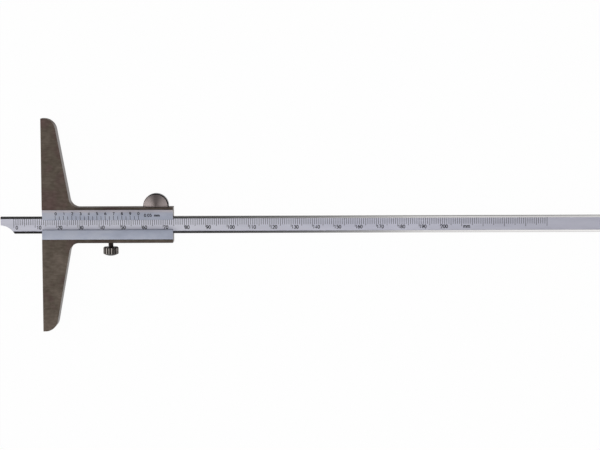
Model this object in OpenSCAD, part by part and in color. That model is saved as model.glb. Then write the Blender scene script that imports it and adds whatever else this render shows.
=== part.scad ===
// Vernier depth gauge, 0 to 200 mm in steps of 0.05 mm, with a 100 mm base.
// The origin lies on the beam's centre line, in the plane of the base's measuring face.
// X runs along the beam to its free end, Y across it, and Z out of the graduated face.

/* [Base] */
// Length of the measuring face, across both arms
base_len = 100; // [80:1:150]
// Width of the flat that ends each arm, beside its round nose
arm_flat_w = 1; // [0.5:0.1:4]
// Radius of the nose at the end of each arm
arm_nose_r = 6; // [3:0.5:9]
// Taper of each arm's back edge, in degrees
arm_taper = 10.2; // [4:0.1:12]
// Radius of the fillet where an arm meets the slide housing
root_fillet_r = 4.6; // [2:0.2:8]
// Thickness of the base and the slide housing
stock_t = 8; // [7.5:0.1:12]

/* [Slide housing] */
// Length of the housing from the measuring face
housing_len = 61.4; // [58:0.1:90]
// Width of the housing across the beam
housing_w = 16.7; // [16.4:0.1:24]
// Depth of the rebate that takes the front strips
rebate_depth = 2; // [1.4:0.1:2.2]
// Rim left beside the rebate, on the vernier's side
rim_upper_w = 1.2; // [0.8:0.1:1.3]
// Rim left beside the rebate, on the clamp's side
rim_lower_w = 1.7; // [0.8:0.1:2.2]

/* [Front strips] */
// Thickness of the two front strips
strip_t = 2.2; // [1.8:0.1:2.6]
// Height of the window's edge above the centre line
window_upper = 2.4; // [1.8:0.1:2.6]
// Depth of the window's edge below the centre line
window_lower = 2.1; // [1.8:0.1:2.6]
// Thickness of the vernier strip at its reading edge
reading_edge_t = 0.5; // [0.3:0.1:1]
// Width of the vernier strip's sloping face
slope_w = 3.9; // [3:0.1:4.2]
// Chamfer along the plain strip's window edge
strip_chamfer = 0.2; // [0.1:0.1:0.6]
// Distance of the strips' ends from the ends of the housing
strip_end_gap = 0.1; // [0.05:0.05:1]

/* [Beam] */
// Length of the beam
beam_len = 282; // [265:1:330]
// Width of the beam
beam_w = 8; // [7.6:0.1:8.2]
// Thickness of the beam
beam_t = 3; // [2.6:0.1:3.4]
// Width of the ground rail along each edge of the graduated face
rail_w = 1.1; // [0.6:0.1:1.4]
// Height of the rails over the graduated face
rail_h = 0.15; // [0.05:0.05:0.4]
// Chamfer along the beam's long edges
beam_chamfer = 0.2; // [0.1:0.05:0.4]
// Width of the narrow measuring tip
tip_w = 4; // [3:0.1:5]
// Radius of the hollow that narrows the tip
tip_relief_r = 8.4; // [6:0.1:12]
// Distance of the hollow's centre beyond the tip
tip_relief_lead = 0.6; // [0.1:0.1:2]

/* [Scales] */
// Depth that the gauge shows
reading = 19.6; // [0:0.05:200]
// Graduated length of the beam
scale_len = 250; // [245:5:255]
// Length of one main division
scale_pitch = 1; // [1:1:2]
// Distance from the tip to the beam's zero, and from the measuring face to the vernier's zero
zero_offset = 6.2; // [5:0.1:8]
// Number of vernier divisions
vernier_count = 20; // [10:10:20]
// Length of the vernier scale
vernier_span = 39; // [39:1:39]
// Width of an engraved line
line_w = 0.22; // [0.1:0.01:0.3]
// Depth of an engraved line
line_depth = 0.05; // [0.02:0.01:0.1]
// Length of the beam's lines at single divisions
line_short = 2.9; // [2:0.1:3.2]
// Extra length of a beam line at five divisions, and again at ten
line_step = 0.6; // [0.3:0.1:0.9]
// Length of the vernier's lines, seen from the front
vernier_line = 1.8; // [1:0.1:2.2]
// Extra length of the vernier's numbered lines
vernier_line_step = 0.2; // [0.1:0.1:0.5]

/* [Gib] */
// Length of the gib
gib_len = 46; // [44:1:50]
// Thickness of the gib
gib_t = 1; // [0.7:0.1:1.1]
// Diameter of the gib's set screws
gib_screw_d = 2; // [1.6:0.1:2.2]
// Length of the gib's set screws
gib_screw_len = 2.6; // [2:0.1:3]

/* [Clamp screw] */
// Distance of the clamp screw from the housing's free end
clamp_end_gap = 29.5; // [26:0.1:32]
// Diameter of the clamp screw's stem
clamp_stem_d = 2.3; // [1.8:0.1:2.4]
// Diameter of the fluted head
clamp_head_d = 7.2; // [6:0.1:9]
// Length of the head's fluted rim
clamp_head_len = 3.2; // [2.4:0.1:6]
// Rise of the head's domed end
clamp_dome_h = 1.1; // [0.2:0.1:1.4]
// Number of flutes round the head
flute_count = 18; // [12:1:24]
// Radius of one flute
flute_r = 0.42; // [0.3:0.02:0.44]
// Free stem between the housing and the head, when the screw is tight
clamp_stand_off = 2; // [1.2:0.1:3]
// Pitch of the clamp screw's thread
clamp_pitch = 0.4; // [0.35:0.05:0.5]
// Turns that the clamp screw opens
clamp_turns = 2; // [1:0.5:2]
// Diameter of the brass pad under the screw
pad_d = 2.6; // [2.5:0.1:2.8]
// Length of the brass pad
pad_len = 1.1; // [0.9:0.1:1.2]

/* [Thumb rest] */
// Distance of the thumb rest's centre from the housing's free end
thumb_end_gap = 8.2; // [7:0.1:9.5]
// Radius of the thumb rest
thumb_r = 6; // [5:0.1:6.5]
// Height of the thumb rest's centre over the housing's edge
thumb_rise = 0.3; // [0:0.1:1]
// Thickness of the thumb rest
thumb_t = 4.2; // [3:0.1:4.4]
// Bevel round the front face of the thumb rest
thumb_bevel = 0.5; // [0.2:0.1:0.7]
// Diameter of the pin that holds the thumb rest
thumb_pin_d = 1.6; // [1.2:0.1:2]

/* [Strip screws] */
// Diameter of the screws that hold the strips from behind
strip_screw_d = 1.6; // [1.4:0.1:1.8]
// Diameter of their countersunk heads
strip_screw_head_d = 3; // [2.6:0.1:3]
// Depth of their driving slots
screw_slot_depth = 0.35; // [0.2:0.05:0.5]
// Width of their driving slots
screw_slot_w = 0.4; // [0.2:0.05:0.5]

/* [Clearances] */
// Play on each side of the beam in its slot
slide_clear = 0.03; // [0.02:0.01:0.06]
// Play over and under the beam
face_clear = 0.05; // [0.03:0.01:0.08]
// Radial play round screws and pins
pin_clear = 0.03; // [0.02:0.01:0.05]
// Gap where the gib, the pad and their screws meet
touch_clear = 0.03; // [0.02:0.01:0.05]

/* [Hidden] */
$fn = 64;

// How far every cut runs past the face that it opens
cut = 1;

// Levels, from the back of the stock to its front
slot_floor_z = -beam_t / 2 - face_clear;
rebate_floor_z = beam_t / 2 + face_clear;
front_z = rebate_floor_z + rebate_depth;
back_z = front_z - stock_t;
strip_front_z = rebate_floor_z + strip_t;
scale_face_z = beam_t / 2 - rail_h;

// Edges across the housing
slot_half_w = beam_w / 2 + slide_clear;
strip_upper_y = housing_w / 2 - rim_upper_w;
strip_lower_y = housing_w / 2 - rim_lower_w;
strip_side_clear = 0.03;

// The taper's line and the two arcs that it touches
taper_n = [cos(arm_taper), sin(arm_taper)];
nose_c = [arm_flat_w, base_len / 2 - arm_nose_r];
fillet_c_y = housing_w / 2 + root_fillet_r;
fillet_c = [(nose_c * taper_n + arm_nose_r + root_fillet_r - taper_n[1] * fillet_c_y) / taper_n[0], fillet_c_y];
arc_steps = 20;

// The beam's place for the shown reading
tip_x = -reading;
beam_zero_x = tip_x + zero_offset;
line_top_y = beam_w / 2 - rail_w;
tip_relief_c = [tip_x - tip_relief_lead, beam_w / 2 - tip_w - tip_relief_r];

// The vernier's slope, measured where it leaves the reading edge
slope_rise = strip_t - reading_edge_t;
slope_angle = atan(slope_rise / slope_w);
vernier_pitch = vernier_span / vernier_count;

// The gib's pocket, and the row of screws that bear on the gib
gib_h = beam_t - face_clear;
gib_x = housing_len / 2 - gib_len / 2;
gib_end_clear = 0.15;
gib_back_y = -slot_half_w - gib_t;
pocket_back_y = gib_back_y - gib_end_clear;
gib_screw_share = [0.18, 0.82];
gib_screw_slot_depth = 0.5;

// The clamp's stack: pad, then the screw's spigot inside it, then the stem
pad_front_y = gib_back_y - touch_clear;
pad_back_y = pad_front_y - pad_len;
stem_end_y = pad_back_y - touch_clear;
spigot_d = 1.2;
spigot_len = 0.45;
socket_depth = spigot_len + touch_clear;
clamp_x = housing_len - clamp_end_gap;
clamp_travel = clamp_turns * clamp_pitch;
pad_bore_end_y = pad_back_y - clamp_travel - 2 * touch_clear;
head_under_y = -housing_w / 2 - clamp_stand_off;
head_end_y = head_under_y - clamp_head_len;
head_chamfer = 0.5;
flute_lift_share = 0.25;
dome_r = (pow(clamp_head_d / 2, 2) + pow(clamp_dome_h, 2)) / (2 * clamp_dome_h);

// The thumb rest's seat: a round slot in the housing's edge, flat where it nears the beam
thumb_x = housing_len - thumb_end_gap;
thumb_y = housing_w / 2 + thumb_rise;
thumb_wall = 0.65;
thumb_front_z = 0.85;
thumb_clear = 0.05;
thumb_back_z = thumb_front_z - thumb_t;
thumb_flat_y = slot_half_w + thumb_wall + thumb_clear;
thumb_pin_y = thumb_flat_y + thumb_pin_d;
thumb_pin_reach_share = 0.8;
thumb_pin_len = thumb_back_z - back_z + thumb_pin_reach_share * thumb_t;

// Places of the strip screws: three up to the thumb rest, and one beyond each end of the gib's pocket
upper_screw_share = [0.13, 0.52, 0.91];
upper_screw_run = thumb_x - thumb_r;
lower_screw_x = [gib_x / 2, housing_len - gib_x / 2];
upper_screw_y = (slot_half_w + housing_w / 2) / 2;
lower_screw_y = -(slot_half_w + strip_lower_y) / 2;
strip_screw_reach = 1.5;
strip_screw_len = rebate_floor_z - back_z + strip_screw_reach;

// A cylinder along Y, from one height to another
module along_y(x, z, from_y, to_y, r) {
    translate([x, from_y, z])
        rotate([to_y > from_y ? -90 : 90, 0, 0])
            cylinder(h = abs(to_y - from_y), r = r);
}

// Points along an arc, from one angle to another
function arc(c, r, from, to) = [
    for (i = [0 : arc_steps])
        c + r * [cos(from + (to - from) * i / arc_steps), sin(from + (to - from) * i / arc_steps)]
];

// The stock's outline, arms and housing: the upper half, then its mirror image backwards
module stock_outline() {
    upper = concat(
        [[0, base_len / 2]],
        arc(nose_c, arm_nose_r, 90, arm_taper),
        arc(fillet_c, root_fillet_r, 180 + arm_taper, 270),
        [[housing_len, housing_w / 2]]
    );
    polygon(concat(upper, [for (i = [len(upper) - 1 : -1 : 0]) [upper[i][0], -upper[i][1]]]));
}

// Seat of the thumb rest: a round slot through the housing's edge, flat where it nears the beam
module thumb_seat() {
    intersection() {
        translate([thumb_x, thumb_y, thumb_back_z - thumb_clear])
            cylinder(h = thumb_t + 2 * thumb_clear, r = thumb_r + thumb_clear);
        translate([thumb_x - 2 * thumb_r, thumb_flat_y - thumb_clear, thumb_back_z - cut])
            cube([4 * thumb_r, 3 * thumb_r, thumb_t + 2 * cut]);
    }
}

// One countersunk screw from the back, pointing up, grown by a clearance
module strip_screw_form(grow) {
    head_h = (strip_screw_head_d - strip_screw_d) / 2;
    cylinder(h = strip_screw_len + grow, r = strip_screw_d / 2 + grow);
    cylinder(h = head_h, r1 = strip_screw_head_d / 2 + grow, r2 = strip_screw_d / 2 + grow);
}

module at_upper_screws() {
    for (share = upper_screw_share)
        translate([share * upper_screw_run, upper_screw_y, back_z])
            children();
}

module at_lower_screws() {
    for (x = lower_screw_x)
        translate([x, lower_screw_y, back_z])
            children();
}

// Base and slide housing in one piece of hardened steel
module stock() {
    color("#544a44")
    difference() {
        translate([0, 0, back_z])
            linear_extrude(height = stock_t)
                stock_outline();
        // slot for the beam
        translate([-cut, -slot_half_w, slot_floor_z])
            cube([housing_len + 2 * cut, 2 * slot_half_w, stock_t]);
        // rebate for the front strips
        translate([-cut, -strip_lower_y - strip_side_clear, rebate_floor_z])
            cube([housing_len + 2 * cut, strip_lower_y + strip_upper_y + 2 * strip_side_clear, stock_t]);
        // pocket for the gib
        translate([gib_x - gib_end_clear, pocket_back_y, slot_floor_z])
            cube([gib_len + 2 * gib_end_clear, -pocket_back_y, stock_t]);
        // bores for the clamp screw and its pad
        along_y(clamp_x, 0, 0, -housing_w, clamp_stem_d / 2 + pin_clear);
        along_y(clamp_x, 0, 0, pad_bore_end_y, pad_d / 2 + pin_clear);
        // bores for the gib's set screws
        for (share = gib_screw_share)
            along_y(share * housing_len, 0, 0, -housing_w, gib_screw_d / 2 + pin_clear);
        // screws from the back
        at_upper_screws()
            strip_screw_form(pin_clear);
        at_lower_screws()
            strip_screw_form(pin_clear);
        // seat and pin hole of the thumb rest
        thumb_seat();
        translate([thumb_x, thumb_pin_y, back_z - cut])
            cylinder(h = thumb_back_z - back_z + 2 * cut, r = thumb_pin_d / 2 + pin_clear);
    }
}

// One vernier line on the sloping face, with its lower end on the reading edge
module vernier_line_cut(length) {
    translate([-line_w / 2, 0, -line_depth])
        cube([line_w, length / cos(slope_angle), cut]);
}

// Satin chromed strip with the vernier on its slope
module vernier_strip() {
    color("#a3a6b3")
    difference() {
        translate([strip_end_gap, 0, 0])
            rotate([90, 0, 90])
                linear_extrude(height = housing_len - 2 * strip_end_gap)
                    polygon([
                        [window_upper, rebate_floor_z],
                        [strip_upper_y, rebate_floor_z],
                        [strip_upper_y, strip_front_z],
                        [window_upper + slope_w, strip_front_z],
                        [window_upper, rebate_floor_z + reading_edge_t]
                    ]);
        for (i = [0 : vernier_count])
            translate([zero_offset + i * vernier_pitch, window_upper, rebate_floor_z + reading_edge_t])
                rotate([slope_angle, 0, 0])
                    vernier_line_cut(vernier_line + (i % 2 == 0 ? vernier_line_step : 0));
        at_upper_screws()
            strip_screw_form(pin_clear);
    }
}

// Plain satin chromed strip on the clamp's side
module lower_strip() {
    color("#a3a6b3")
    difference() {
        translate([strip_end_gap, 0, 0])
            rotate([90, 0, 90])
                linear_extrude(height = housing_len - 2 * strip_end_gap)
                    polygon([
                        [-strip_lower_y, rebate_floor_z],
                        [-window_lower, rebate_floor_z],
                        [-window_lower, strip_front_z - strip_chamfer],
                        [-window_lower - strip_chamfer, strip_front_z],
                        [-strip_lower_y, strip_front_z]
                    ]);
        at_lower_screws()
            strip_screw_form(pin_clear);
    }
}

module slotted_strip_screw() {
    difference() {
        strip_screw_form(0);
        translate([-strip_screw_head_d, -screw_slot_w / 2, -cut])
            cube([2 * strip_screw_head_d, screw_slot_w, screw_slot_depth + cut]);
    }
}

module vernier_strip_screws() {
    color("#3a3532")
    at_upper_screws()
        slotted_strip_screw();
}

module lower_strip_screws() {
    color("#3a3532")
    at_lower_screws()
        slotted_strip_screw();
}

// How far a main line reaches: longer at every fifth division, and again at every tenth
function main_line(i) = line_short + line_step * ((i % 5 == 0 ? 1 : 0) + (i % 10 == 0 ? 1 : 0));

// Measuring beam with ground rails, an engraved scale and a narrow tip
module beam() {
    color("#bdbfcb")
    difference() {
        translate([tip_x, 0, 0])
            rotate([90, 0, 90])
                linear_extrude(height = beam_len)
                    polygon([
                        [-beam_w / 2 + beam_chamfer, -beam_t / 2],
                        [beam_w / 2 - beam_chamfer, -beam_t / 2],
                        [beam_w / 2, -beam_t / 2 + beam_chamfer],
                        [beam_w / 2, beam_t / 2 - beam_chamfer],
                        [beam_w / 2 - beam_chamfer, beam_t / 2],
                        [line_top_y, beam_t / 2],
                        [line_top_y, scale_face_z],
                        [-line_top_y, scale_face_z],
                        [-line_top_y, beam_t / 2],
                        [-beam_w / 2 + beam_chamfer, beam_t / 2],
                        [-beam_w / 2, beam_t / 2 - beam_chamfer],
                        [-beam_w / 2, -beam_t / 2 + beam_chamfer]
                    ]);
        translate([tip_relief_c[0], tip_relief_c[1], -beam_t])
            cylinder(h = 2 * beam_t, r = tip_relief_r);
        for (i = [0 : scale_len / scale_pitch])
            translate([
                beam_zero_x + i * scale_pitch - line_w / 2,
                line_top_y - main_line(i),
                scale_face_z - line_depth
            ])
                cube([line_w, main_line(i), cut]);
    }
}

// Spring steel gib that takes up the beam's side play
module gib() {
    color("#8f8a80")
    translate([gib_x, gib_back_y, -gib_h / 2])
        cube([gib_len, gib_t, gib_h]);
}

// Two slotted set screws that bear on the gib
module gib_screws() {
    color("#3a3532")
    for (share = gib_screw_share)
        difference() {
            along_y(
                share * housing_len, 0,
                gib_back_y - touch_clear, gib_back_y - touch_clear - gib_screw_len, gib_screw_d / 2
            );
            translate([
                share * housing_len - gib_screw_d,
                gib_back_y - touch_clear - gib_screw_len - cut,
                -screw_slot_w / 2
            ])
                cube([2 * gib_screw_d, cut + gib_screw_slot_depth, screw_slot_w]);
        }
}

// Clamp screw with a fluted, domed head and a spigot that turns in the pad
module clamp_screw() {
    color("#5a5450")
    union() {
        along_y(clamp_x, 0, stem_end_y + spigot_len, stem_end_y - cut / 2, spigot_d / 2);
        along_y(clamp_x, 0, stem_end_y, head_under_y - cut / 2, clamp_stem_d / 2);
        difference() {
            intersection() {
                union() {
                    along_y(clamp_x, 0, head_under_y - head_chamfer, head_end_y - clamp_dome_h, clamp_head_d / 2);
                    translate([clamp_x, head_under_y, 0])
                        rotate([90, 0, 0])
                            cylinder(
                                h = head_chamfer,
                                r1 = clamp_head_d / 2 - head_chamfer,
                                r2 = clamp_head_d / 2
                            );
                }
                translate([clamp_x, head_end_y - clamp_dome_h + dome_r, 0])
                    sphere(r = dome_r);
            }
            for (i = [0 : flute_count - 1])
                rotate_about_clamp(i * 360 / flute_count)
                    along_y(
                        clamp_x, clamp_head_d / 2 + flute_lift_share * flute_r,
                        head_under_y + cut, head_end_y - clamp_dome_h - cut, flute_r
                    );
        }
    }
}

module rotate_about_clamp(angle) {
    translate([clamp_x, 0, 0])
        rotate([0, angle, 0])
            translate([-clamp_x, 0, 0])
                children();
}

// Brass pad between the clamp screw and the gib
module clamp_pad() {
    color("#b08d4a")
    difference() {
        along_y(clamp_x, 0, pad_front_y, pad_back_y, pad_d / 2);
        along_y(clamp_x, 0, pad_back_y + socket_depth, pad_back_y - cut, spigot_d / 2 + pin_clear);
    }
}

// Turned thumb rest, bevelled round its front face and flat where it nears the beam
module thumb_rest() {
    color("#8c8280")
    difference() {
        translate([thumb_x, thumb_y, thumb_back_z])
            union() {
                cylinder(h = thumb_t - thumb_bevel, r = thumb_r);
                translate([0, 0, thumb_t - thumb_bevel])
                    cylinder(h = thumb_bevel, r1 = thumb_r, r2 = thumb_r - thumb_bevel);
            }
        translate([thumb_x - 2 * thumb_r, thumb_flat_y - 3 * thumb_r, thumb_back_z - cut])
            cube([4 * thumb_r, 3 * thumb_r, thumb_t + 2 * cut]);
        translate([thumb_x, thumb_pin_y, back_z - cut])
            cylinder(h = thumb_pin_len + cut + pin_clear, r = thumb_pin_d / 2 + pin_clear);
    }
}

// Pin driven in from the back, through the housing's wall into the thumb rest
module thumb_rest_pin() {
    color("#3a3532")
    translate([thumb_x, thumb_pin_y, back_z])
        cylinder(h = thumb_pin_len, r = thumb_pin_d / 2);
}

stock();
vernier_strip();
lower_strip();
vernier_strip_screws();
lower_strip_screws();
beam();
gib();
gib_screws();
clamp_screw();
clamp_pad();
thumb_rest();
thumb_rest_pin();
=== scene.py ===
"""Looks of a vernier depth gauge: its metals, its filled scales and numerals, and the studio round it."""
import math

import bpy
import numpy as np
from mathutils import Matrix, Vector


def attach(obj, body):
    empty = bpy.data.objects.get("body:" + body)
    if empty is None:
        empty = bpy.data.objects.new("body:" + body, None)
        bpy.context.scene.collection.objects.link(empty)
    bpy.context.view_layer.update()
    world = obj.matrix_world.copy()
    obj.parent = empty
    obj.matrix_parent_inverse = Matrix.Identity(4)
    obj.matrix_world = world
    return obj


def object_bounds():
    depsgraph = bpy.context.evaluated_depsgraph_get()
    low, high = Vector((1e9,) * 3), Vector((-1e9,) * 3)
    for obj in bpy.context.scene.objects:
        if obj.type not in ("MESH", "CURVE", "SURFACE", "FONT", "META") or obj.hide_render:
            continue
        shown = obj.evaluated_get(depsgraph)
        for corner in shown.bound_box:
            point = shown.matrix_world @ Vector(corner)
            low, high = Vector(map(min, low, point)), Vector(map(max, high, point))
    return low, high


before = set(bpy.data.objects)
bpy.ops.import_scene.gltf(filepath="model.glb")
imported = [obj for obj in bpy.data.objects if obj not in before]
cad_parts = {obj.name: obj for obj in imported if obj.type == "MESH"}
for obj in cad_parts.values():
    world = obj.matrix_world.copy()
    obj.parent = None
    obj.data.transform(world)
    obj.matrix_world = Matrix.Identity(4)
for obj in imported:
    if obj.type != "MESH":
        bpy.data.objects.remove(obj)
cad_low, cad_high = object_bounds()
MM = 0.001


# Stock. The base and the slide housing are one piece of hardened steel, ground flat along the beam. Years
# of handling gave it a dark brown patina, mottled in red and olive. The housing's rims round the strips
# carry a painted shade, deeper on the upper side. The measuring face, the tapers and the end were ground
# again and are smoother, and a painted highlight, chosen by the way a face turns, makes them lighter.
SMOOTH = {"interpolation_type": "SMOOTHSTEP"}
COLOURS = {"data_type": "RGBA"}
TINT = {"data_type": "RGBA", "blend_type": "MULTIPLY"}


def linear(code):
    """An sRGB hex code as a linear RGBA colour. Each share c becomes ((c + 0.055) / 1.055) ** 2.4, or
    c / 12.92 in the darks."""
    shares = [int(code[i : i + 2], 16) / 255 for i in (1, 3, 5)]
    return [c / 12.92 if c <= 0.04045 else ((c + 0.055) / 1.055) ** 2.4 for c in shares] + [1.0]


def add(tree, kind, inputs=(), stops=(), **settings):
    """Adds one node. inputs maps an input's name or number to a value or to the socket that feeds it, and a
    list gives the first inputs in order. stops are a ramp's positions and sRGB codes. settings are the
    node's own properties."""
    node = tree.nodes.new(kind)
    for name, value in settings.items():
        setattr(node, name, value)
    pairs = inputs.items() if isinstance(inputs, dict) else enumerate(inputs)
    for name, value in pairs:
        if isinstance(value, bpy.types.NodeSocket):
            tree.links.new(value, node.inputs[name])
        else:
            node.inputs[name].default_value = value
    for index, (position, code) in enumerate(stops):
        elements = node.color_ramp.elements
        element = elements[index] if index < 2 else elements.new(1.0)
        element.position = position
        element.color = linear(code)
    return node


def new_metal(name, roughness):
    """A named metal: its tree, its shader, and the coordinates of the piece in millimetres."""
    material = bpy.data.materials.new(name)
    material.use_nodes = True
    tree = material.node_tree
    tree.nodes.clear()
    shader = add(tree, "ShaderNodeBsdfPrincipled", {"Metallic": 1.0, "Roughness": roughness})
    add(tree, "ShaderNodeOutputMaterial", {"Surface": shader.outputs[0]})
    place = add(tree, "ShaderNodeTexCoord").outputs["Object"]
    millimetres = add(tree, "ShaderNodeVectorMath", {0: place, "Scale": 1 / MM}, operation="SCALE")
    return material, tree, shader, millimetres.outputs[0]


def pattern(tree, where, per_mm, detail):
    """An uneven pattern with that many lumps a millimetre along x, y and z, centred on 0.5."""
    lumps = add(tree, "ShaderNodeMapping", {"Vector": where, "Scale": per_mm}).outputs[0]
    return add(tree, "ShaderNodeTexNoise", {"Vector": lumps, "Scale": 1.0, "Detail": detail}).outputs[0]


def feed(tree, shader, colour, height, depth_mm, roughness=None):
    """Links a shader to its colour, to the height from 0 to 1 that raises it by that depth, and to its
    roughness, where that varies."""
    relief = add(tree, "ShaderNodeBump", {"Height": height, "Distance": depth_mm * MM, "Strength": 1.0})
    tree.links.new(colour, shader.inputs["Base Color"])
    tree.links.new(relief.outputs[0], shader.inputs["Normal"])
    if roughness is not None:
        tree.links.new(roughness, shader.inputs["Roughness"])


def finish_node(name, material):
    """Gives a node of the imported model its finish."""
    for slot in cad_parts[name].material_slots:
        slot.material = material


def break_edges(name, width_mm):
    """Joins a node's loose triangles, merges its flat faces and rounds every sharp edge by that width."""
    join_within_mm = 0.002
    flat_below = math.radians(0.5)
    sharp_above = math.radians(35)
    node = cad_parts[name]
    join = node.modifiers.new("join", "WELD")
    join.merge_threshold = join_within_mm * MM
    flats = node.modifiers.new("flats", "DECIMATE")
    flats.decimate_type = "DISSOLVE"
    flats.angle_limit = flat_below
    edge = node.modifiers.new("edge", "BEVEL")
    edge.width = width_mm * MM
    edge.segments = 2
    edge.limit_method = "ANGLE"
    edge.angle_limit = sharp_above
    edge.use_clamp_overlap = False


aged_steel, tree, shader, mm = new_metal("aged_ground_steel", 0.42)
shader.inputs["Specular Tint"].default_value = linear("#bab7b6")
along, across, _ = add(tree, "ShaderNodeSeparateXYZ", [mm]).outputs
patches = pattern(tree, mm, (0.10, 0.10, 0.10), 3.0)
redder = add(tree, "ShaderNodeMapRange", [across, -20.0, 20.0, -0.13, 0.04], **SMOOTH).outputs[0]
hue = add(tree, "ShaderNodeMath", [patches, redder], operation="ADD").outputs[0]
patina = [(0.30, "#84786e"), (0.40, "#7d7268"), (0.50, "#71675d"), (0.60, "#6f605a"), (0.70, "#715f5b")]
brown = add(tree, "ShaderNodeValToRGB", [hue], patina).outputs[0]
mottle = pattern(tree, mm, (0.45, 0.8, 0.8), 4.0)
mottle = add(tree, "ShaderNodeValToRGB", [mottle], [(0.34, "#e0dfde"), (0.66, "#ffffff")]).outputs[0]
brown = add(tree, "ShaderNodeMix", {0: 1.0, 6: brown, 7: mottle}, **TINT).outputs[2]
# The real wheel's lines are too fine to show, so they are drawn at four to a millimetre.
streaks = pattern(tree, mm, (0.15, 4.0, 4.0), 3.0)
streaked = add(tree, "ShaderNodeValToRGB", [streaks], [(0.30, "#e9e8e7"), (0.70, "#ffffff")]).outputs[0]
brown = add(tree, "ShaderNodeMix", {0: 1.0, 6: brown, 7: streaked}, **TINT).outputs[2]
# Painted shade: the housing's rims round the strips are drawn darker, more so on the upper side.
off_centre = add(tree, "ShaderNodeMath", [across], operation="ABSOLUTE").outputs[0]
on_housing = add(tree, "ShaderNodeMapRange", [off_centre, 8.4, 9.6, 1.0, 0.0], **SMOOTH).outputs[0]
past_arms = add(tree, "ShaderNodeMapRange", [along, 10.0, 18.0, 0.0, 0.62], **SMOOTH).outputs[0]
by_side = add(tree, "ShaderNodeMapRange", [across, -1.0, 1.0, 0.55, 0.75], **SMOOTH).outputs[0]
housing_rim_painted_shade = add(tree, "ShaderNodeMath", [on_housing, past_arms], operation="MULTIPLY").outputs[0]
housing_rim_painted_shade = add(tree, "ShaderNodeMath", [housing_rim_painted_shade, by_side], operation="MULTIPLY").outputs[0]
brown = add(tree, "ShaderNodeMix", {0: housing_rim_painted_shade, 6: brown, 7: linear("#2c2827")}, **COLOURS).outputs[2]
# Painted highlight: faces turned along the beam are drawn lighter; they are also smoother.
normal = add(tree, "ShaderNodeTexCoord").outputs["Normal"]
endways = add(tree, "ShaderNodeSeparateXYZ", [normal]).outputs["X"]
endways = add(tree, "ShaderNodeMath", [endways], operation="ABSOLUTE").outputs[0]
wall = add(tree, "ShaderNodeMapRange", [endways, 0.70, 0.99, 0.0, 1.0], **SMOOTH).outputs[0]
with_painted_end_highlight = add(tree, "ShaderNodeMix", {0: wall, 6: brown, 7: linear("#a09d9b")}, **COLOURS).outputs[2]
face_rough = add(tree, "ShaderNodeMapRange", [patches, 0.3, 0.7, 0.38, 0.48], **SMOOTH).outputs[0]
rough = add(tree, "ShaderNodeMix", {0: wall, 2: face_rough, 3: 0.3}, data_type="FLOAT").outputs[0]
feed(tree, shader, with_painted_end_highlight, streaks, 0.002, rough)
finish_node("stock", aged_steel)
break_edges("stock", width_mm=0.15)


# Front strips. Two strips of steel, satin chromed by blasting before plating, so that the engraved lines
# read without glare. They are screwed on from behind and leave the window over the beam between them. The
# blasted grain is drawn at a third of a millimetre, coarser than it is, so that it shows.
satin_chrome, tree, shader, mm = new_metal("satin_chrome", 0.6)
cloud = pattern(tree, mm, (0.10, 0.22, 0.10), 3.0)
chrome = [(0.35, "#b7bccb"), (0.50, "#bfc4d3"), (0.65, "#c7cbd7")]
chrome = add(tree, "ShaderNodeValToRGB", [cloud], chrome).outputs[0]
# Painted shade across the strips: the lower strip is drawn darker by the window and lighter towards its
# outer edge, the vernier strip a little darker over its slope and warmer near its top edge.
across = add(tree, "ShaderNodeSeparateXYZ", [mm]).outputs["Y"]
across = add(tree, "ShaderNodeMapRange", [across, -7.0, 7.2]).outputs[0]
painted_shade_across_strips = [(0.0, "#ffffff"), (0.34, "#e8e8ea"), (0.66, "#ffffff"), (0.88, "#fbf9f8"), (0.95, "#fff4ec")]
painted_shade_across_strips = add(tree, "ShaderNodeValToRGB", [across], painted_shade_across_strips).outputs[0]
toned = add(tree, "ShaderNodeMix", {0: 1.0, 6: chrome, 7: painted_shade_across_strips}, **TINT).outputs[2]
grain = pattern(tree, mm, (3.0, 3.0, 3.0), 2.0)
rough = add(tree, "ShaderNodeMapRange", [grain, 0.3, 0.7, 0.56, 0.64], **SMOOTH).outputs[0]
feed(tree, shader, toned, grain, 0.003, rough)
finish_node("vernier_strip", satin_chrome)
finish_node("lower_strip", satin_chrome)


# Beam. A hardened bar whose scale face is blasted and satin chromed between two ground and polished
# rails. They keep the lines of a wheel that ran along the bar, finer than the seven to a millimetre drawn
# here. The scale face carries a painted shade, lighter near the tip and darker towards the free end. The
# rails carry a painted reflection, darker near the housing and on the clamp side, and the narrow sides a
# painted shade that fades out towards the free end.
rail_y_mm = 2.9
side_y_mm = 3.8
rail_z_mm = 1.2
past_edge_mm = 0.01
beam_steel, tree, shader, mm = new_metal("ground_and_satin_beam", 0.40)
along, across, up = add(tree, "ShaderNodeSeparateXYZ", [mm]).outputs
off_centre = add(tree, "ShaderNodeMath", [across], operation="ABSOLUTE").outputs[0]
rail_from_mm = rail_y_mm + past_edge_mm
on_rail = add(tree, "ShaderNodeMath", [off_centre, rail_from_mm], operation="GREATER_THAN").outputs[0]
below = add(tree, "ShaderNodeMath", [up, rail_z_mm], operation="LESS_THAN").outputs[0]
ground = add(tree, "ShaderNodeMath", [on_rail, below], operation="MAXIMUM").outputs[0]
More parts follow.
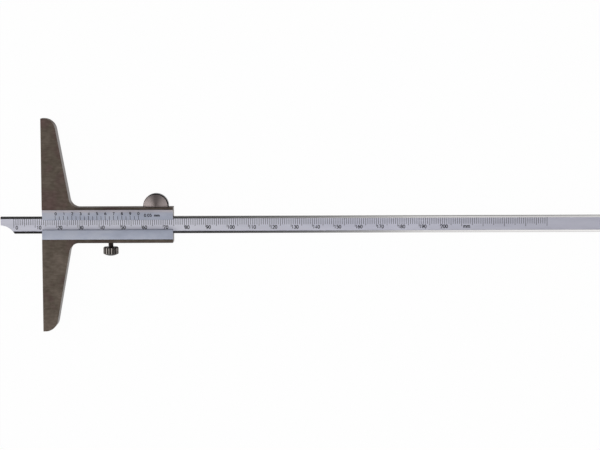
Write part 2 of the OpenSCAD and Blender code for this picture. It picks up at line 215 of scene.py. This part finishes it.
# Painted shade: the scale face is drawn lighter near the tip and darker towards the free end.
over_length = add(tree, "ShaderNodeMapRange", [along, -20.0, 265.0]).outputs[0]
chrome = [(0.27, "#dcdce6"), (0.31, "#dddde6"), (0.60, "#d5d5e2"), (0.77, "#d2d2de"), (0.89, "#c9c9d5")]
chrome = add(tree, "ShaderNodeValToRGB", [over_length], chrome).outputs[0]
cloud = pattern(tree, mm, (0.05, 0.30, 0.30), 3.0)
cloud = add(tree, "ShaderNodeValToRGB", [cloud], [(0.35, "#f4f4f5"), (0.65, "#ffffff")]).outputs[0]
face = add(tree, "ShaderNodeMix", {0: 1.0, 6: chrome, 7: cloud}, **TINT).outputs[2]
lines = pattern(tree, mm, (0.03, 7.0, 7.0), 2.0)
polished = add(tree, "ShaderNodeValToRGB", [lines], [(0.30, "#b6b4b4"), (0.70, "#d2d1d0")]).outputs[0]
# Painted reflection: the rails are drawn darker near the housing and lighter farther along, the clamp side's
# darker still.
thumb_rail_painted_reflection = [(0.28, "#c4c4c4"), (0.53, "#e8e8e8"), (0.68, "#f4f4f4"), (0.90, "#e0e0e0")]
thumb_rail_painted_reflection = add(tree, "ShaderNodeValToRGB", [over_length], thumb_rail_painted_reflection).outputs[0]
clamp_rail_painted_reflection = [(0.28, "#9a9a9c"), (0.50, "#b4b4b6"), (0.60, "#dedede"), (0.70, "#ffffff")]
clamp_rail_painted_reflection = add(tree, "ShaderNodeValToRGB", [over_length], clamp_rail_painted_reflection).outputs[0]
by_clamp = add(tree, "ShaderNodeMath", [across, 0.0], operation="LESS_THAN").outputs[0]
rail_painted_reflection = add(tree, "ShaderNodeMix", {0: by_clamp, 6: thumb_rail_painted_reflection, 7: clamp_rail_painted_reflection}, **COLOURS).outputs[2]
rail_painted_reflection = add(tree, "ShaderNodeMix", {0: on_rail, 6: linear("#f4f4f4"), 7: rail_painted_reflection}, **COLOURS).outputs[2]
rail = add(tree, "ShaderNodeMix", {0: 1.0, 6: polished, 7: rail_painted_reflection}, **TINT).outputs[2]
bare = add(tree, "ShaderNodeMix", {0: ground, 6: face, 7: rail}, **COLOURS).outputs[2]
# Painted shade: the narrow sides are drawn dark, fading out from 60 to 200 mm along the bar.
side_from_mm = side_y_mm + past_edge_mm
on_side = add(tree, "ShaderNodeMath", [off_centre, side_from_mm], operation="GREATER_THAN").outputs[0]
side_painted_shade = add(tree, "ShaderNodeMapRange", [along, 60.0, 200.0, 1.0, 0.05], **SMOOTH).outputs[0]
side_painted_shade = add(tree, "ShaderNodeMath", [on_side, side_painted_shade], operation="MULTIPLY").outputs[0]
side_shade_tone = add(tree, "ShaderNodeValToRGB", [lines], [(0.30, "#373536"), (0.70, "#4b4849")]).outputs[0]
with_side_painted_shade = add(tree, "ShaderNodeMix", {0: side_painted_shade, 6: bare, 7: side_shade_tone}, **COLOURS).outputs[2]
rail_rough = add(tree, "ShaderNodeMapRange", [lines, 0.3, 0.7, 0.09, 0.15], **SMOOTH).outputs[0]
rough = add(tree, "ShaderNodeMix", {0: ground, 2: 0.6, 3: rail_rough}, data_type="FLOAT").outputs[0]
feed(tree, shader, with_side_painted_shade, lines, 0.0015, rough)
finish_node("beam", beam_steel)


# Main scale. Each engraved line is filled with black paint, wiped level just under the chrome. The lines
# ride on the beam, a millimetre apart, longer at every fifth and longer again at every tenth.
def new_piece(name, corners_mm, faces):
    """A piece of the scene from corners in millimetres and faces that name them."""
    mesh = bpy.data.meshes.new(name)
    mesh.from_pydata((corners_mm * MM).tolist(), [], faces.tolist())
    mesh.validate()
    piece = bpy.data.objects.new(name, mesh)
    bpy.context.scene.collection.objects.link(piece)
    return piece


def filled_lines(name, x_mm, length_mm, origin_mm, up_mm, normal_mm):
    """Boxes of paint. Box k runs from origin + x[k] along the up direction for length[k]. Its eight corners
    are that line plus or minus half a width along x, and the two ends of the depth along the normal."""
    x = np.asarray(x_mm, float)[:, None, None]
    length = np.asarray(length_mm, float)[:, None, None]
    side = np.array([-1, 1, 1, -1, -1, 1, 1, -1])[None, :, None] * line_width_mm / 2
    reach = np.array([0, 0, 1, 1, 0, 0, 1, 1])[None, :, None] * length
    deep = np.repeat(line_levels_mm, 4)[None, :, None]
    corners = (
        np.array(origin_mm)
        + (x + side) * np.array([1.0, 0.0, 0.0])
        + reach * np.array(up_mm)
        + deep * np.array(normal_mm)
    )
    quads = np.array([[3, 2, 1, 0], [4, 5, 6, 7], [0, 1, 5, 4], [1, 2, 6, 5], [2, 3, 7, 6], [3, 0, 4, 7]])
    faces = (quads[None] + 8 * np.arange(len(x))[:, None, None]).reshape(-1, 4)
    piece = new_piece(name, corners.reshape(-1, 3), faces)
    piece.data.materials.append(black_paint)
    return piece


scale_face_z_mm = 1.35
beam_zero_x_mm = -13.4
line_width_mm = 0.218
line_levels_mm = (-0.049, -0.006)
line_count = 251
shortest_mm = 2.9
step_mm = 0.6
end_gap_mm = 0.01
black_paint, tree, shader, mm = new_metal("black_scale_paint", 0.55)
shader.inputs["Metallic"].default_value = 0.0
shader.inputs["Specular IOR Level"].default_value = 0.25
toned = pattern(tree, mm, (1.3, 0.6, 1.3), 3.0)
toned = add(tree, "ShaderNodeValToRGB", [toned], [(0.30, "#0d0c10"), (0.72, "#26242b")]).outputs[0]
tree.links.new(toned, shader.inputs["Base Color"])
marks = np.arange(line_count)
main_length = shortest_mm + step_mm * ((marks % 5 == 0) * 1.0 + (marks % 10 == 0) * 1.0)
main_lines = filled_lines(
    "beam_scale_fill",
    beam_zero_x_mm + marks,
    main_length - 2 * end_gap_mm,
    (0.0, rail_y_mm - end_gap_mm, scale_face_z_mm),
    (0.0, -1.0, 0.0),
    (0.0, 0.0, 1.0),
)
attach(main_lines, "beam")


# Main numerals. Engraved by pantograph in strokes of one width, from 0 to 200 every ten millimetres, with
# the unit after the 210 line, and filled like the lines. They stand just right of their lines, the first
# ones a little farther.
def arc(x, y, rx, ry, start, end):
    """Points (x + rx cos t, y + ry sin t) from one angle to another, in degrees, about 15 degrees apart."""
    t = np.radians(np.linspace(start, end, max(3, int(abs(end - start) / 15) + 1)))
    return np.stack([x + rx * np.cos(t), y + ry * np.sin(t)], 1)


STROKES = {
    "0": [arc(0.30, 0.50, 0.28, 0.50, 90, 450)],
    "1": [np.array([(0.12, 0.76), (0.34, 1.0), (0.34, 0.0)])],
    "2": [np.vstack([arc(0.30, 0.72, 0.26, 0.28, 165, -35), [(0.04, 0.0), (0.58, 0.0)]])],
    "3": [np.vstack([arc(0.28, 0.76, 0.25, 0.24, 150, -80), arc(0.28, 0.27, 0.29, 0.27, 80, -150)])],
    "4": [np.array([(0.44, 0.0), (0.44, 1.0), (0.02, 0.27), (0.60, 0.27)])],
    "5": [np.vstack([[(0.53, 1.0), (0.13, 1.0), (0.09, 0.56)], arc(0.28, 0.33, 0.29, 0.33, 125, -145)])],
    "6": [np.vstack([arc(0.55, 0.34, 0.52, 0.66, 100, 180), arc(0.30, 0.31, 0.27, 0.31, 180, 540)])],
    "7": [np.array([(0.03, 1.0), (0.57, 1.0), (0.20, 0.0)])],
    "8": [arc(0.30, 0.76, 0.22, 0.24, -90, 270), arc(0.30, 0.26, 0.27, 0.26, 90, 450)],
    "9": [np.vstack([arc(0.05, 0.66, 0.52, 0.66, -80, 0), arc(0.30, 0.69, 0.27, 0.31, 0, 360)])],
    "m": [
        np.array([(0.05, 0.0), (0.05, 0.66)]),
        np.vstack([arc(0.23, 0.46, 0.18, 0.20, 180, 0), [(0.41, 0.0)]]),
        np.vstack([arc(0.59, 0.46, 0.18, 0.20, 180, 0), [(0.77, 0.0)]]),
    ],
    ".": [np.array([(0.10, 0.0), (0.10, 0.10)])],
}
SIGN_GAP = 0.18
DIGIT_ADVANCE = 0.78
ADVANCE = {"m": 0.98, ".": 0.34}


def label_strokes(text, height_mm, left_mm, base_mm):
    """The strokes of a word, scaled to its height, and its width. Each sign starts where the last one's
    advance ends."""
    strokes = []
    pen = 0.0
    for sign in text:
        for stroke in STROKES[sign]:
            strokes.append((stroke + [pen, 0.0]) * height_mm + [left_mm, base_mm])
        pen += ADVANCE.get(sign, DIGIT_ADVANCE)
    return strokes, (pen - SIGN_GAP) * height_mm


def engraved(name, strokes, width_mm, origin_mm, up_mm, normal_mm):
    """A rectangular profile carried along each stroke. At each point the sides stand half a width off along
    the mean normal of the two legs that meet there, divided by the cosine of its angle to either leg's
    normal, so that both keep their width, or by 0.75 where that cosine is less."""
    least_cosine = 0.75
    least_length = 1e-9
    corners = []
    faces = []
    first = 0
    for stroke in strokes:
        closed = np.allclose(stroke[0], stroke[-1])
        points = stroke[:-1] if closed else stroke
        count = len(points)
        legs = np.diff(np.vstack([points, points[:1]]), axis=0)
        legs /= np.maximum(np.linalg.norm(legs, axis=1, keepdims=True), least_length)
        before = np.roll(legs, 1, axis=0)
        if not closed:
            before[0] = legs[0]
            legs[-1] = before[-1]
        normals = np.stack([-(legs + before)[:, 1], (legs + before)[:, 0]], 1)
        normals /= np.maximum(np.linalg.norm(normals, axis=1, keepdims=True), least_length)
        cosine = (normals * np.stack([-legs[:, 1], legs[:, 0]], 1)).sum(1, keepdims=True)
        offset = normals / np.clip(cosine, least_cosine, 1.0) * width_mm / 2
        flat = np.stack([points - offset, points + offset, points + offset, points - offset], 1)
        deep = np.repeat(numeral_levels_mm, 2)[None, :, None]
        profile = (
            np.array(origin_mm)
            + flat[..., :1] * np.array([1.0, 0.0, 0.0])
            + flat[..., 1:] * np.array(up_mm)
            + deep * np.array(normal_mm)
        )
        corners.append(profile.reshape(-1, 3))
        steps = np.arange(count if closed else count - 1)
        here = first + steps * 4
        there = first + (steps + 1) % count * 4
        for k in range(4):
            after = (k + 1) % 4
            faces.append(np.stack([here + k, here + after, there + after, there + k], 1))
        if not closed:
            last = first + (count - 1) * 4
            faces.append(first + np.array([[3, 2, 1, 0]]))
            faces.append(last + np.array([[0, 1, 2, 3]]))
        first += 4 * count
    piece = new_piece(name, np.vstack(corners), np.vstack(faces))
    piece.data.materials.append(black_paint)
    return piece


numeral_base_mm = -1.92
numeral_h_mm = 1.5
numeral_stroke_mm = 0.34
numeral_levels_mm = (-0.02, 0.006)
numeral_gap_mm = 0.15
first_gap_mm = 0.8
gap_fade_mm = 30.0
last_numeral = 200
unit_x_mm = 210.8
unit_h_mm = 1.7
main_strokes = []
for tens in range(0, last_numeral + 1, 10):
    gap = numeral_gap_mm + first_gap_mm * math.exp(-tens / gap_fade_mm)
    strokes, _ = label_strokes(str(tens), numeral_h_mm, beam_zero_x_mm + tens + gap, numeral_base_mm)
    main_strokes += strokes
unit, _ = label_strokes("mm", unit_h_mm, beam_zero_x_mm + unit_x_mm, numeral_base_mm)
main_numerals = engraved(
    "beam_numerals",
    main_strokes + unit,
    numeral_stroke_mm,
    (0.0, 0.0, scale_face_z_mm),
    (0.0, 1.0, 0.0),
    (0.0, 0.0, 1.0),
)
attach(main_numerals, "beam")


# Vernier scale. Twenty-one lines, 1.95 mm apart, are engraved down the slope to the reading edge, so that
# they stand right over the beam's lines. Every second line has its numeral above it, and the value of a
# division stands at the right.
slope_run_mm = 3.9
slope_rise_mm = 1.7
slope_len = math.hypot(slope_run_mm, slope_rise_mm)
slope_up = (0.0, slope_run_mm / slope_len, slope_rise_mm / slope_len)
slope_normal = (0.0, -slope_rise_mm / slope_len, slope_run_mm / slope_len)
slope_foot = (0.0, 2.4, 2.05)
foot_gap_mm = 0.05
vernier_zero_x_mm = 6.2
vernier_pitch_mm = 1.95
division_count = 20
long_run_mm = 2.0
short_run_mm = 1.8
vernier_numeral_h_mm = 1.3
vernier_numeral_up_mm = 2.7
first_shift_mm = 0.35
shift_step_mm = 0.03
vernier_stroke_mm = 0.33
value_h_mm = 1.38
value_up_mm = 1.7
value_x_mm = 47.9
value_unit_x_mm = 52.6
divisions = np.arange(division_count + 1)
vernier_x = vernier_zero_x_mm + vernier_pitch_mm * divisions
vernier_length = np.where(divisions % 2 == 0, long_run_mm, short_run_mm) * slope_len / slope_run_mm
vernier_lines = filled_lines(
    "vernier_scale_fill",
    vernier_x,
    vernier_length - foot_gap_mm - end_gap_mm,
    np.array(slope_foot) + foot_gap_mm * np.array(slope_up),
    slope_up,
    slope_normal,
)
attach(vernier_lines, "stock")
vernier_strokes = []
for k in range(division_count // 2 + 1):
    strokes, width = label_strokes(str(k % 10), vernier_numeral_h_mm, 0.0, 0.0)
    left = vernier_x[2 * k] - width / 2 + first_shift_mm - shift_step_mm * k
    vernier_strokes += [stroke + [left, vernier_numeral_up_mm] for stroke in strokes]
for word, left in (("0.05", value_x_mm), ("mm", value_unit_x_mm)):
    strokes, _ = label_strokes(word, value_h_mm, left, value_up_mm)
    vernier_strokes += strokes
vernier_numerals = engraved(
    "vernier_numerals", vernier_strokes, vernier_stroke_mm, slope_foot, slope_up, slope_normal
)
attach(vernier_numerals, "stock")


# Clamp screw. Turned from steel in one piece, with milled flutes round its head, then blackened. The
# crests between the flutes are rubbed back to bare metal by fingers.
clamp_x_mm = 31.9
black_radius_mm = 3.48
rubbed_radius_mm = 3.61
blackened, tree, shader, mm = new_metal("blackened_steel", 0.38)
along, _, up = add(tree, "ShaderNodeSeparateXYZ", [mm]).outputs
from_axis = add(tree, "ShaderNodeMath", [along, clamp_x_mm], operation="SUBTRACT").outputs[0]
spoke = add(tree, "ShaderNodeCombineXYZ", [from_axis, up]).outputs[0]
radius = add(tree, "ShaderNodeVectorMath", [spoke], operation="LENGTH").outputs["Value"]
crest = [radius, black_radius_mm, rubbed_radius_mm, 0.0, 1.0]
crest = add(tree, "ShaderNodeMapRange", crest, **SMOOTH).outputs[0]
spots = pattern(tree, mm, (1.2, 1.2, 1.2), 3.0)
black = add(tree, "ShaderNodeValToRGB", [spots], [(0.30, "#241f1e"), (0.70, "#3a3432")]).outputs[0]
bare = add(tree, "ShaderNodeValToRGB", [spots], [(0.30, "#8a8480"), (0.70, "#b5afaa")]).outputs[0]
rubbed = add(tree, "ShaderNodeMix", {0: crest, 6: black, 7: bare}, **COLOURS).outputs[2]
rough = add(tree, "ShaderNodeMapRange", [spots, 0.3, 0.7, 0.28, 0.42], **SMOOTH).outputs[0]
feed(tree, shader, rubbed, spots, 0.004, rough)
finish_node("clamp_screw", blackened)


# Strip screws, gib screws and pin. Small bought screws and a ground pin, chemically blackened all over,
# which leaves a dull, slightly spotted black.
black_screw, tree, shader, mm = new_metal("black_oxide_screws", 0.40)
spots = pattern(tree, mm, (1.6, 1.6, 1.6), 3.0)
oxide = add(tree, "ShaderNodeValToRGB", [spots], [(0.30, "#3a3634"), (0.70, "#565150")]).outputs[0]
feed(tree, shader, oxide, spots, 0.003)
for name in ("vernier_strip_screws", "lower_strip_screws", "gib_screws", "thumb_rest_pin"):
    finish_node(name, black_screw)


# Gib and pad. The gib is a polished strip of spring steel that the set screws press on the beam. The brass
# pad between the clamp screw and the gib keeps the screw's end from marking it, and its turned edges are
# broken, so that it clears the rounded inner end of its bore.
spring_steel, tree, shader, mm = new_metal("polished_spring_steel", 0.25)
# The real rolled and turned lines are too fine to show, so both are drawn at six to a millimetre.
lines = pattern(tree, mm, (0.05, 6.0, 6.0), 2.0)
rolled = add(tree, "ShaderNodeValToRGB", [lines], [(0.30, "#8c877e"), (0.70, "#a9a49b")]).outputs[0]
feed(tree, shader, rolled, lines, 0.001)
finish_node("gib", spring_steel)
turned_brass, tree, shader, mm = new_metal("turned_brass", 0.3)
rings = pattern(tree, mm, (0.4, 6.0, 0.4), 2.0)
turned = add(tree, "ShaderNodeValToRGB", [rings], [(0.30, "#a8834a"), (0.70, "#c9a566")]).outputs[0]
feed(tree, shader, turned, rings, 0.002)
finish_node("clamp_pad", turned_brass)
break_edges("clamp_pad", width_mm=0.08)


# Thumb rest. A disc faced on a lathe. Its rings, finer than the five to a millimetre drawn here, throw the
# light out sideways, as two bright fans with a dark band between them. A painted shade darkens that band and
# the far side further, and the bevel carries a painted shade but for its left end.
thumb_centre_mm = (53.2, 8.65, 0.0)
fan_shade_half_mm = 6.5
turned_steel, tree, shader, mm = new_metal("lathe_turned_steel", 0.33)
shader.inputs["Anisotropic"].default_value = 0.96
shader.inputs["Specular Tint"].default_value = linear("#909090")
arm = add(tree, "ShaderNodeVectorMath", [mm, thumb_centre_mm], operation="SUBTRACT").outputs[0]
flat_arm = add(tree, "ShaderNodeVectorMath", [arm, (1.0, 1.0, 0.0)], operation="MULTIPLY").outputs[0]
outwards = add(tree, "ShaderNodeVectorMath", [flat_arm], operation="NORMALIZE").outputs[0]
tree.links.new(outwards, shader.inputs["Tangent"])
radius = add(tree, "ShaderNodeVectorMath", [flat_arm], operation="LENGTH").outputs["Value"]
ring_place = add(tree, "ShaderNodeCombineXYZ", [radius]).outputs[0]
rings = pattern(tree, ring_place, (5.0, 1.0, 1.0), 2.0)
faced = [(0.30, "#bcafab"), (0.50, "#d0c3c1"), (0.70, "#e2d7d5")]
faced = add(tree, "ShaderNodeValToRGB", [rings], faced).outputs[0]
to_right, to_far_side, _ = add(tree, "ShaderNodeSeparateXYZ", [arm]).outputs
# Painted shade: a band down the middle and the far side are drawn darker.
painted_fan_shade = [(0.30, "#ffffff"), (0.46, "#cac8c8"), (0.54, "#cac8c8"), (0.75, "#ececec")]
over_disc = add(tree, "ShaderNodeMapRange", [to_right, -fan_shade_half_mm, fan_shade_half_mm]).outputs[0]
painted_fan_shade = add(tree, "ShaderNodeValToRGB", [over_disc], painted_fan_shade).outputs[0]
over_far = add(tree, "ShaderNodeMapRange", [to_far_side, 1.0, 5.5]).outputs[0]
far_side_painted_shade = add(tree, "ShaderNodeValToRGB", [over_far], [(0.0, "#ffffff"), (1.0, "#c8c8c8")]).outputs[0]
painted_fan_shade = add(tree, "ShaderNodeMix", {0: 1.0, 6: painted_fan_shade, 7: far_side_painted_shade}, **TINT).outputs[2]
with_painted_fan_shade = add(tree, "ShaderNodeMix", {0: 1.0, 6: faced, 7: painted_fan_shade}, **TINT).outputs[2]
# Painted shade: the bevel is drawn dark, faintly at its left end.
normal = add(tree, "ShaderNodeTexCoord").outputs["Normal"]
facing = add(tree, "ShaderNodeSeparateXYZ", [normal]).outputs["Z"]
facing = add(tree, "ShaderNodeMath", [facing], operation="ABSOLUTE").outputs[0]
painted_bevel_shade = add(tree, "ShaderNodeMapRange", [facing, 0.70, 0.90, 1.0, 0.0], **SMOOTH).outputs[0]
shade = add(tree, "ShaderNodeMapRange", [to_right, -6.0, -2.0, 0.1, 0.9], **SMOOTH).outputs[0]
painted_bevel_shade = add(tree, "ShaderNodeMath", [painted_bevel_shade, shade], operation="MULTIPLY").outputs[0]
disc = add(tree, "ShaderNodeMix", {0: painted_bevel_shade, 6: with_painted_fan_shade, 7: linear("#1f1c1d")}, **COLOURS).outputs[2]
rough = add(tree, "ShaderNodeMapRange", [facing, 0.75, 0.95, 0.16, 0.50], **SMOOTH).outputs[0]
feed(tree, shader, disc, rings, 0.002, rough)
finish_node("thumb_rest", turned_steel)


# Floor. Plain white paper just under the gauge's back. It shows as pure white with a trace of shadow, and is
# clear from below, so that the back can be looked at too.
floor_drop_mm = 0.02
floor_half_m = 3.0
glow_share = 0.975
floor_z = cad_low[2] - floor_drop_mm * MM
floor_signs = [(-1, -1), (1, -1), (1, 1), (-1, 1)]
floor_corners = [(x * floor_half_m, y * floor_half_m, floor_z) for x, y in floor_signs]
mesh = bpy.data.meshes.new("floor")
mesh.from_pydata(floor_corners, [], [(0, 1, 2, 3)])
floor = bpy.data.objects.new("floor", mesh)
bpy.context.scene.collection.objects.link(floor)
paper = bpy.data.materials.new("white_paper")
paper.use_nodes = True
tree = paper.node_tree
tree.nodes.clear()
matt = add(tree, "ShaderNodeBsdfDiffuse", {"Color": linear("#f4f4f4")}).outputs[0]
glow = add(tree, "ShaderNodeEmission", {"Color": linear("#ffffff"), "Strength": 1.0}).outputs[0]
ray = add(tree, "ShaderNodeLightPath").outputs
straight = ray["Is Camera Ray"]
mirrored = ray["Is Glossy Ray"]
seen = add(tree, "ShaderNodeMath", [straight, mirrored], operation="MAXIMUM").outputs[0]
share = add(tree, "ShaderNodeMath", [seen, glow_share], operation="MULTIPLY").outputs[0]
white = add(tree, "ShaderNodeMixShader", [share, matt, glow]).outputs[0]
under = add(tree, "ShaderNodeNewGeometry").outputs["Backfacing"]
clear = add(tree, "ShaderNodeBsdfTransparent").outputs[0]
either = add(tree, "ShaderNodeMixShader", [under, white, clear]).outputs[0]
add(tree, "ShaderNodeOutputMaterial", {"Surface": either})
mesh.materials.append(paper)


# Studio. A white tent with a dark opening over the housing, which the polished rails and the steel mirror.
# The tent is dimmer beyond both arms and low on the right, so that round edges show.
tent_strength = 1.47
opening_y = -0.09
least_z = 0.05
least_flat2 = 0.0001
world = bpy.data.worlds.new("tent")
bpy.context.scene.world = world
world.use_nodes = True
tree = world.node_tree
tree.nodes.clear()
way = add(tree, "ShaderNodeTexCoord").outputs["Generated"]
x, y, z = add(tree, "ShaderNodeSeparateXYZ", [way]).outputs
up = add(tree, "ShaderNodeMath", [z, least_z], operation="MAXIMUM").outputs[0]
x_overhead = add(tree, "ShaderNodeMath", [x, up], operation="DIVIDE").outputs[0]
y_overhead = add(tree, "ShaderNodeMath", [y, up], operation="DIVIDE").outputs[0]
over_x = add(tree, "ShaderNodeMath", [x_overhead, 0.5, 0.5], operation="MULTIPLY_ADD").outputs[0]
opening = [(0.20, "#ffffff"), (0.35, "#4a4a4a"), (0.475, "#4a4a4a")]
opening += [(0.505, "#a0a0a0"), (0.535, "#f0f0f0"), (0.57, "#ffffff")]
opening = add(tree, "ShaderNodeValToRGB", [over_x], opening).outputs[0]
opening = add(tree, "ShaderNodeMath", [1.0, opening], operation="SUBTRACT").outputs[0]
beside = add(tree, "ShaderNodeMath", [y_overhead, opening_y], operation="SUBTRACT").outputs[0]
beside = add(tree, "ShaderNodeMath", [beside], operation="ABSOLUTE").outputs[0]
inside = add(tree, "ShaderNodeMapRange", [beside, 0.18, 0.42, 1.0, 0.0], **SMOOTH).outputs[0]
dark = add(tree, "ShaderNodeMath", [inside, opening], operation="MULTIPLY").outputs[0]
lit = add(tree, "ShaderNodeMath", [1.0, dark], operation="SUBTRACT").outputs[0]
x2 = add(tree, "ShaderNodeMath", [x, 2.0], operation="POWER").outputs[0]
y2 = add(tree, "ShaderNodeMath", [y, 2.0], operation="POWER").outputs[0]
flat2 = add(tree, "ShaderNodeMath", [x2, y2], operation="ADD").outputs[0]
flat2 = add(tree, "ShaderNodeMath", [flat2, least_flat2], operation="MAXIMUM").outputs[0]
end_share = add(tree, "ShaderNodeMath", [y2, flat2], operation="DIVIDE").outputs[0]
leaning = add(tree, "ShaderNodeMapRange", [flat2, 0.02, 0.30, 0.0, 1.0], **SMOOTH).outputs[0]
ends = add(tree, "ShaderNodeMath", [end_share, leaning], operation="MULTIPLY").outputs[0]
change = add(tree, "ShaderNodeMapRange", [y, -0.25, 0.25, -0.55, -0.96], **SMOOTH).outputs[0]
ends = add(tree, "ShaderNodeMath", [ends, change, 1.0], operation="MULTIPLY_ADD").outputs[0]
right = add(tree, "ShaderNodeMapRange", [x, 0.35, 0.80, 1.0, 0.04], **SMOOTH).outputs[0]
dimmed = add(tree, "ShaderNodeMath", [ends, right], operation="MULTIPLY").outputs[0]
level = add(tree, "ShaderNodeMath", [lit, dimmed], operation="MULTIPLY").outputs[0]
level = add(tree, "ShaderNodeMath", [level, tent_strength], operation="MULTIPLY").outputs[0]
sky = add(tree, "ShaderNodeBackground", {"Color": linear("#ffffff"), "Strength": level}).outputs[0]
add(tree, "ShaderNodeOutputWorld", {"Surface": sky})


# Camera. Nearly straight above, 0.9 m away and 5 degrees towards the thumb rest's side, as the lean of the
# base in the photograph shows. A turn of a fifth of a degree tips the beam's free end up.
target = np.array([120.78, -0.45, 0.0]) * MM
pitch = math.radians(5.1)
roll = math.radians(-0.19)
distance = 0.9
lens = bpy.data.cameras.new("camera")
lens.sensor_width = 36.0
lens.lens = 115.0
lens.clip_start = 0.05
lens.clip_end = 20.0
camera = bpy.data.objects.new("camera", lens)
camera.location = target + distance * np.array([0.0, math.sin(pitch), math.cos(pitch)])
camera.rotation_euler = (Matrix.Rotation(-pitch, 3, "X") @ Matrix.Rotation(roll, 3, "Z")).to_euler()
bpy.context.scene.collection.objects.link(camera)
bpy.context.scene.camera = camera
bpy.context.scene.view_settings.view_transform = "Standard"
